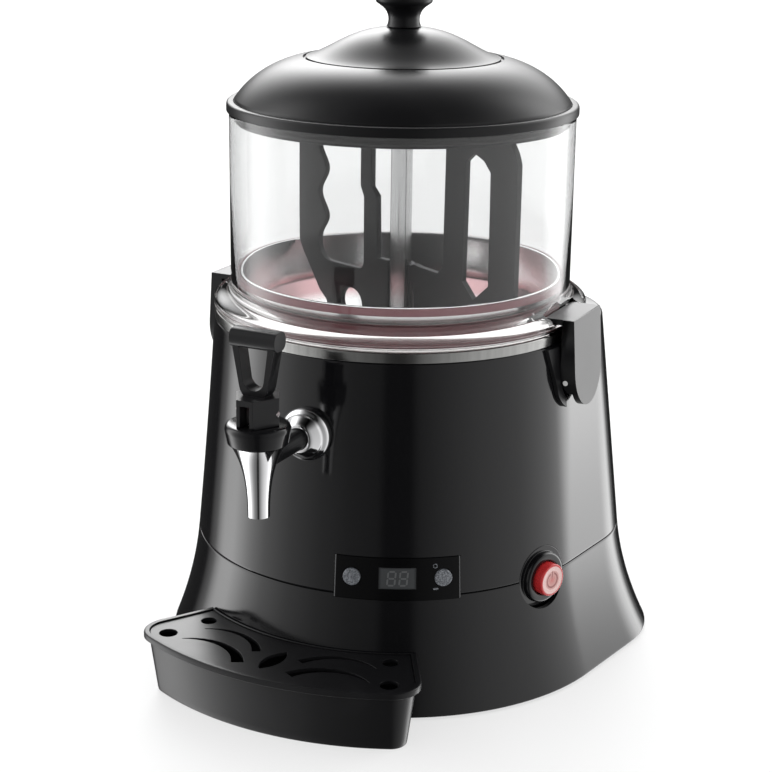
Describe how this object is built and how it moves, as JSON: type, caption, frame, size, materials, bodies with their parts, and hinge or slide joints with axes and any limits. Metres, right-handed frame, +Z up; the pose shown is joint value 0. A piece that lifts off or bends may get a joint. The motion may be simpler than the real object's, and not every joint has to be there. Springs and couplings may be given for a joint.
{
  "type": "hot chocolate dispenser",
  "caption": "Counter-top hot chocolate dispenser with a clear tank over a heated bowl, stirring paddles, a lever tap and a drip tray.",
  "frame": {"origin": "on the counter, on the upright axis of the tank", "axes": "+Z up, -Y towards the user, on the side of the tap, +X to the user's right"},
  "size_m": [0.2926, 0.3056, 0.4001],
  "materials": {
    "gloss_black": "gloss",
    "satin_black": "satin",
    "food_black": "satin",
    "clear_tank": "clear",
    "polished_steel": "polished",
    "satin_steel": "satin",
    "chrome": "polished",
    "pink_silicone": "satin",
    "black_rubber": "matte",
    "motor_metal": "satin",
    "bronze": "satin",
    "board_green": "satin",
    "heater_aluminium": "satin",
    "natural_nylon": "satin",
    "display_glass": "gloss",
    "button_grey": "satin",
    "power_red": "gloss"
  },
  "bodies": {
    "housing": {"upper_casing": "gloss_black", "lower_skirt": "gloss_black", "base_plate": "satin_black", "base_screws": "satin_steel", "rubber_feet": "black_rubber", "foot_screws": "satin_steel", "power_inlet": "satin_black", "steel_band": "polished_steel", "heating_bowl": "satin_steel", "centre_tube": "satin_steel", "lower_gasket": "pink_silicone", "upper_gasket": "pink_silicone", "heater_ring": "heater_aluminium", "thermostat": "satin_steel", "gear_motor": "motor_metal", "motor_bracket": "satin_steel", "shaft_bushes": "bronze", "tank": "clear_tank", "clip_bracket_left": "satin_black", "clip_bracket_right": "satin_black", "clip_pin_left": "satin_steel", "clip_pin_right": "satin_steel", "panel_bezel": "gloss_black", "display_window": "display_glass", "control_board": "board_green", "switch_bezel": "gloss_black", "switch_nut": "satin_black", "switch_body": "satin_black", "power_board": "board_green", "tap_rosette": "chrome", "tap_body": "satin_black", "tap_washer": "pink_silicone", "tap_nut": "bronze", "tap_cap": "satin_black", "tap_spout": "chrome", "tap_spring": "satin_steel"},
    "agitator": {"drive_coupling": "natural_nylon", "drive_shaft": "satin_steel", "agitator_spine": "food_black", "agitator_cap": "food_black", "paddle_left": "food_black", "paddle_right": "food_black"},
    "lid": {"lid": "satin_black", "lid_seal": "black_rubber", "lid_knob": "satin_black", "knob_screw": "satin_steel"},
    "left_clip": {"clip_left": "satin_black"},
    "right_clip": {"clip_right": "satin_black"},
    "tap_lever": {"tap_handle": "satin_black", "tap_pin": "satin_steel"},
    "valve_stem": {"tap_stem": "satin_steel", "tap_plunger": "black_rubber"},
    "power_key": {"power_button": "power_red"},
    "left_key": {"button_left": "button_grey"},
    "right_key": {"button_right": "button_grey"},
    "tray": {"drip_tray": "satin_black"},
    "grate": {"drip_grate": "satin_black"}
  },
  "joints": [
    {"name": "agitator_spin", "type": "hinge", "parent": "housing", "child": "agitator", "pos_m": [0, 0, 0.15], "axis": [0, 0, 1], "continuous": true},
    {"name": "lid_lift", "type": "slide", "parent": "housing", "child": "lid", "axis": [0, 0, 1], "range_m": [0, 0.12]},
    {"name": "clip_left_pivot", "type": "hinge", "parent": "housing", "child": "left_clip", "pos_m": [-0.11566, 0, 0.1785], "axis": [0, -1, 0], "range_deg": [0, 19], "stiffness_Nm_per_rad": 0.05, "springref_deg": -17.19},
    {"name": "clip_right_pivot", "type": "hinge", "parent": "housing", "child": "right_clip", "pos_m": [0.11566, 0, 0.1785], "axis": [0, 1, 0], "range_deg": [0, 19], "stiffness_Nm_per_rad": 0.05, "springref_deg": -17.19},
    {"name": "tap_lever_tilt", "type": "hinge", "parent": "housing", "child": "tap_lever", "pos_m": [0, -0.1807, 0.1806], "axis": [1, 0, 0], "range_deg": [0, 25], "stiffness_Nm_per_rad": 0.3, "springref_deg": -17.19},
    {"name": "tap_stem_lift", "type": "slide", "parent": "housing", "child": "valve_stem", "axis": [0, 0, 1], "range_m": [0, 0.005], "deforming": ["tap_spring"]},
    {"name": "power_button_press", "type": "slide", "parent": "housing", "child": "power_key", "axis": [-0.9397, 0.342, 0], "range_m": [0, 0.003], "stiffness_N_per_m": 600, "springref_m": -0.002},
    {"name": "button_left_press", "type": "slide", "parent": "housing", "child": "left_key", "axis": [-0.247, 0.969, 0], "range_m": [0, 0.0008], "stiffness_N_per_m": 800, "springref_m": -0.0005},
    {"name": "button_right_press", "type": "slide", "parent": "housing", "child": "right_key", "axis": [-0.6252, 0.7804, 0], "range_m": [0, 0.0008], "stiffness_N_per_m": 800, "springref_m": -0.0005},
    {"name": "tray_pull", "type": "slide", "parent": "housing", "child": "tray", "axis": [0, -1, 0], "range_m": [0, 0.12]},
    {"name": "grate_lift", "type": "slide", "parent": "tray", "child": "grate", "axis": [0, 0, 1], "range_m": [0, 0.05]}
  ],
  "couplings": [
    {"joint": "tap_stem_lift", "follows": "tap_lever_tilt", "m_per_rad": 0.011184}
  ]
}
